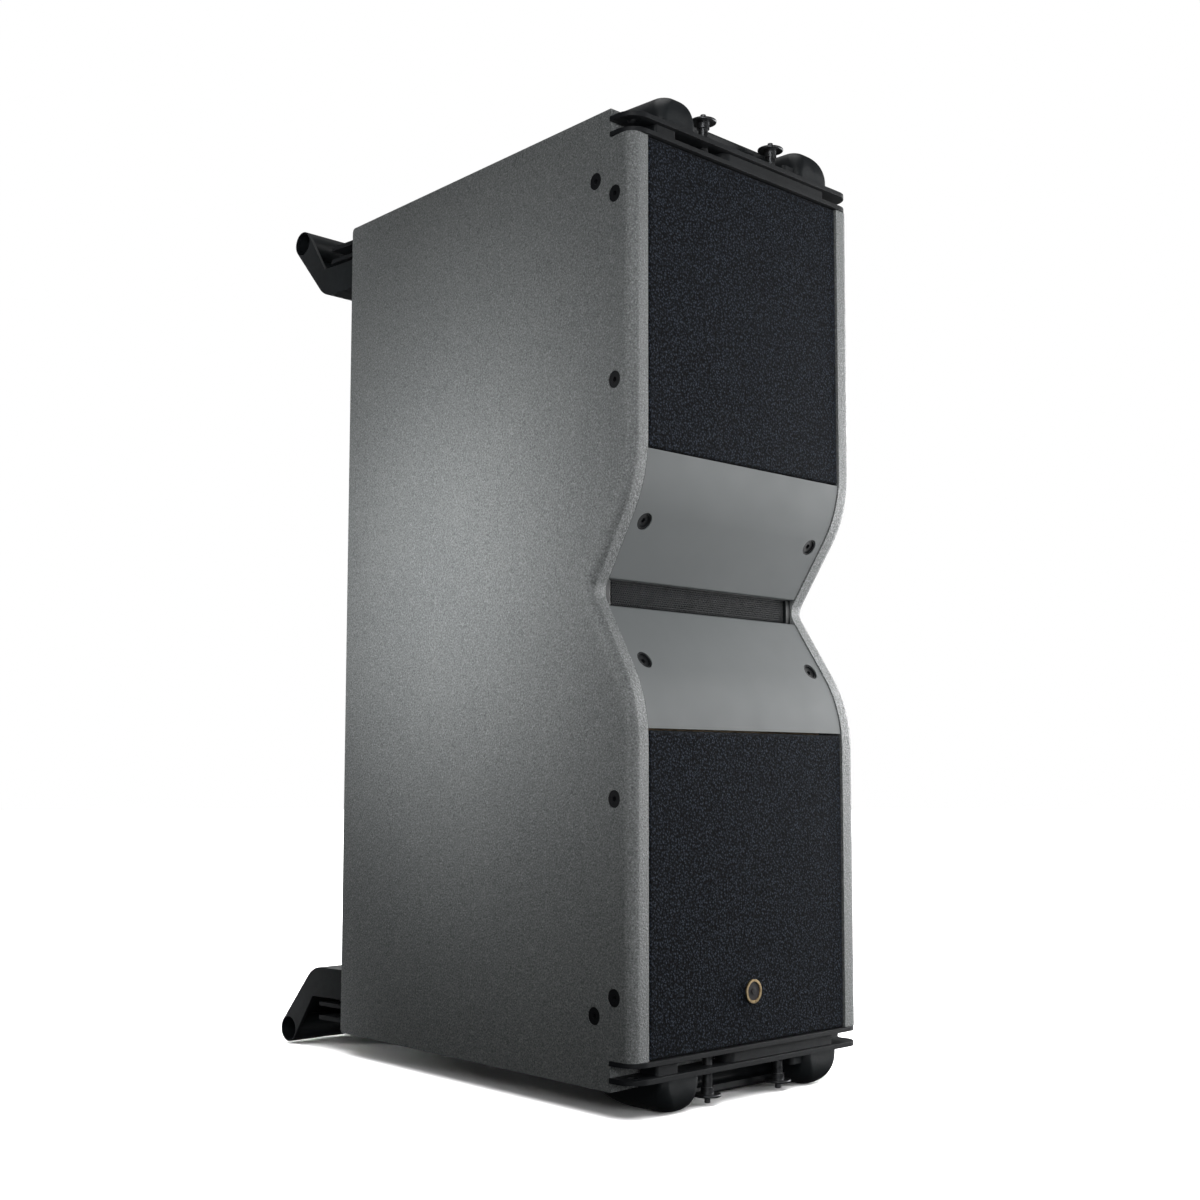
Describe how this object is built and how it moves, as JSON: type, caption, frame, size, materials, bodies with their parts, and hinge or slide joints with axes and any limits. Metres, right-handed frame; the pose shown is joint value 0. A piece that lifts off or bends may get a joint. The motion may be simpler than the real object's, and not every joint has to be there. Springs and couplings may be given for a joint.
{
  "type": "line array loudspeaker element",
  "caption": "Tall grey hourglass loudspeaker cabinet for vertical arrays, foam-faced grilles, central slot, tilting fins and black rigging at both ends.",
  "frame": {"origin": "on the floor plane, at the middle of the footprint, with the element standing on one end as stored", "axes": "+Z along the long side, +Y towards the back, -Y is the way it radiates, +X to the right seen from the front"},
  "size_m": [0.356, 0.6455, 1.015],
  "materials": {
    "cabinet_paint": "textured grey-brown polyurea paint",
    "bare_ply": "bare birch plywood",
    "black_steel": "matte black powder coat",
    "grille_foam": "fine open acoustic foam",
    "badge_brass": "satin",
    "fin_grey": "smooth satin grey",
    "black_plastic": "fine moulded texture",
    "mesh_steel": "black perforated sheet",
    "screw_black": "black oxide",
    "pin_steel": "blackened steel",
    "button_steel": "worn blackened steel",
    "cast_alloy": "black painted casting",
    "magnet_iron": "phosphate grey",
    "surround_rubber": "matte",
    "cone_paper": "pressed paper pulp, treated"
  },
  "bodies": {
    "cabinet": {"back_panel": "cabinet_paint", "bottom_end_panel": "cabinet_paint", "bottom_front_bumper": "black_plastic", "bottom_front_plates": "black_steel", "bottom_rear_bumper": "black_plastic", "compression_driver": "cast_alloy", "connector_plate": "black_steel", "connector_sockets": "black_plastic", "fin_hinge_pins": "black_steel", "grille_badge": "badge_brass", "internal_braces": "bare_ply", "left_side_panel": "cabinet_paint", "lower_grille_foam": "grille_foam", "lower_grille_frame": "black_steel", "mid_baffles": "bare_ply", "mid_frames": "cast_alloy", "plate_screws": "screw_black", "rear_plates": "black_steel", "rigging_spacers": "black_steel", "right_side_panel": "cabinet_paint", "side_screws": "screw_black", "slot_frame": "black_plastic", "slot_mesh": "mesh_steel", "top_end_panel": "cabinet_paint", "top_front_bumper": "black_plastic", "top_front_plates": "black_steel", "top_rear_bumper": "black_plastic", "upper_grille_foam": "grille_foam", "upper_grille_frame": "black_steel", "waveguide": "black_plastic", "woofer_baffles": "bare_ply", "woofer_baskets": "cast_alloy", "woofer_magnets": "magnet_iron", "woofer_surrounds": "surround_rubber"},
    "upper_fin": {"upper_fin": "fin_grey"},
    "lower_fin": {"lower_fin": "fin_grey"},
    "upper_left_fin_screw": {"upper_left_fin_screw": "screw_black"},
    "upper_right_fin_screw": {"upper_right_fin_screw": "screw_black"},
    "lower_left_fin_screw": {"lower_left_fin_screw": "screw_black"},
    "lower_right_fin_screw": {"lower_right_fin_screw": "screw_black"},
    "top_front_link_arm": {"top_front_link_arm": "black_steel"},
    "bottom_front_link_arm": {"bottom_front_link_arm": "black_steel"},
    "top_rear_link_arm": {"top_rear_link_arm": "black_steel"},
    "bottom_rear_link_arm": {"bottom_rear_link_arm": "black_steel"},
    "top_left_pin": {"top_left_pin": "pin_steel"},
    "top_right_pin": {"top_right_pin": "pin_steel"},
    "top_rear_pin": {"top_rear_pin": "pin_steel"},
    "bottom_left_pin": {"bottom_left_pin": "pin_steel"},
    "bottom_right_pin": {"bottom_right_pin": "pin_steel"},
    "bottom_rear_pin": {"bottom_rear_pin": "pin_steel"},
    "top_left_pin_button": {"top_left_pin_button": "button_steel"},
    "top_right_pin_button": {"top_right_pin_button": "button_steel"},
    "top_rear_pin_button": {"top_rear_pin_button": "button_steel"},
    "bottom_left_pin_button": {"bottom_left_pin_button": "button_steel"},
    "bottom_right_pin_button": {"bottom_right_pin_button": "button_steel"},
    "bottom_rear_pin_button": {"bottom_rear_pin_button": "button_steel"},
    "upper_woofer_cone": {"upper_woofer_cone": "cone_paper"},
    "lower_woofer_cone": {"lower_woofer_cone": "cone_paper"},
    "upper_mid_cones": {"upper_mid_cones": "cone_paper"},
    "lower_mid_cones": {"lower_mid_cones": "cone_paper"}
  },
  "joints": [
    {"name": "upper_fin_tilt", "type": "hinge", "parent": "cabinet", "child": "upper_fin", "pos_m": [0, -0.30725, 0.6385], "axis": [-1, 0, 0], "range_deg": [0, 5]},
    {"name": "lower_fin_tilt", "type": "hinge", "parent": "cabinet", "child": "lower_fin", "pos_m": [0, -0.30725, 0.3765], "axis": [1, 0, 0], "range_deg": [0, 5]},
    {"name": "upper_left_fin_screw_turn", "type": "hinge", "parent": "upper_fin", "child": "upper_left_fin_screw", "pos_m": [-0.1325, -0.29446, 0.576], "axis": [0, -0.8508, -0.5255], "range_deg": [0, 90]},
    {"name": "upper_right_fin_screw_turn", "type": "hinge", "parent": "upper_fin", "child": "upper_right_fin_screw", "pos_m": [0.1325, -0.29446, 0.576], "axis": [0, -0.8508, -0.5255], "range_deg": [0, 90]},
    {"name": "lower_left_fin_screw_turn", "type": "hinge", "parent": "lower_fin", "child": "lower_left_fin_screw", "pos_m": [-0.1325, -0.29446, 0.439], "axis": [0, -0.8508, 0.5255], "range_deg": [0, 90]},
    {"name": "lower_right_fin_screw_turn", "type": "hinge", "parent": "lower_fin", "child": "lower_right_fin_screw", "pos_m": [0.1325, -0.29446, 0.439], "axis": [0, -0.8508, 0.5255], "range_deg": [0, 90]},
    {"name": "top_front_link_slide", "type": "slide", "parent": "cabinet", "child": "top_front_link_arm", "axis": [1, 0, 0], "range_m": [0, 0.077]},
    {"name": "top_rear_link_slide", "type": "slide", "parent": "cabinet", "child": "top_rear_link_arm", "axis": [1, 0, 0], "range_m": [0, 0.142]},
    {"name": "top_left_pin_pull", "type": "slide", "parent": "cabinet", "child": "top_left_pin", "axis": [0, 0, 1], "range_m": [0, 0.035]},
    {"name": "top_left_pin_button_press", "type": "slide", "parent": "top_left_pin", "child": "top_left_pin_button", "axis": [0, 0, -1], "range_m": [0, 0.004], "stiffness_N_per_m": 400},
    {"name": "top_right_pin_pull", "type": "slide", "parent": "cabinet", "child": "top_right_pin", "axis": [0, 0, 1], "range_m": [0, 0.035]},
    {"name": "top_right_pin_button_press", "type": "slide", "parent": "top_right_pin", "child": "top_right_pin_button", "axis": [0, 0, -1], "range_m": [0, 0.004], "stiffness_N_per_m": 400},
    {"name": "top_rear_pin_pull", "type": "slide", "parent": "cabinet", "child": "top_rear_pin", "axis": [0, 0, 1], "range_m": [0, 0.035]},
    {"name": "top_rear_pin_button_press", "type": "slide", "parent": "top_rear_pin", "child": "top_rear_pin_button", "axis": [0, 0, -1], "range_m": [0, 0.004], "stiffness_N_per_m": 400},
    {"name": "bottom_front_link_slide", "type": "slide", "parent": "cabinet", "child": "bottom_front_link_arm", "axis": [1, 0, 0], "range_m": [0, 0.077]},
    {"name": "bottom_rear_link_slide", "type": "slide", "parent": "cabinet", "child": "bottom_rear_link_arm", "axis": [1, 0, 0], "range_m": [0, 0.142]},
    {"name": "bottom_left_pin_pull", "type": "slide", "parent": "cabinet", "child": "bottom_left_pin", "axis": [0, 0, -1], "range_m": [0, 0.035]},
    {"name": "bottom_left_pin_button_press", "type": "slide", "parent": "bottom_left_pin", "child": "bottom_left_pin_button", "axis": [0, 0, 1], "range_m": [0, 0.004], "stiffness_N_per_m": 400},
    {"name": "bottom_right_pin_pull", "type": "slide", "parent": "cabinet", "child": "bottom_right_pin", "axis": [0, 0, -1], "range_m": [0, 0.035]},
    {"name": "bottom_right_pin_button_press", "type": "slide", "parent": "bottom_right_pin", "child": "bottom_right_pin_button", "axis": [0, 0, 1], "range_m": [0, 0.004], "stiffness_N_per_m": 400},
    {"name": "bottom_rear_pin_pull", "type": "slide", "parent": "cabinet", "child": "bottom_rear_pin", "axis": [0, 0, -1], "range_m": [0, 0.035]},
    {"name": "bottom_rear_pin_button_press", "type": "slide", "parent": "bottom_rear_pin", "child": "bottom_rear_pin_button", "axis": [0, 0, 1], "range_m": [0, 0.004], "stiffness_N_per_m": 400},
    {"name": "upper_woofer_travel", "type": "slide", "parent": "cabinet", "child": "upper_woofer_cone", "axis": [0, -1, 0], "range_m": [-0.008, 0.008], "stiffness_N_per_m": 3000},
    {"name": "lower_woofer_travel", "type": "slide", "parent": "cabinet", "child": "lower_woofer_cone", "axis": [0, -1, 0], "range_m": [-0.008, 0.008], "stiffness_N_per_m": 3000},
    {"name": "upper_mid_travel", "type": "slide", "parent": "cabinet", "child": "upper_mid_cones", "axis": [0, -0.8508, -0.5255], "range_m": [-0.003, 0.003], "stiffness_N_per_m": 4000},
    {"name": "lower_mid_travel", "type": "slide", "parent": "cabinet", "child": "lower_mid_cones", "axis": [0, -0.8508, 0.5255], "range_m": [-0.003, 0.003], "stiffness_N_per_m": 4000}
  ],
  "couplings": [
    {"joint": "lower_woofer_travel", "follows": "upper_woofer_travel", "ratio": 1},
    {"joint": "lower_mid_travel", "follows": "upper_mid_travel", "ratio": 1}
  ]
}
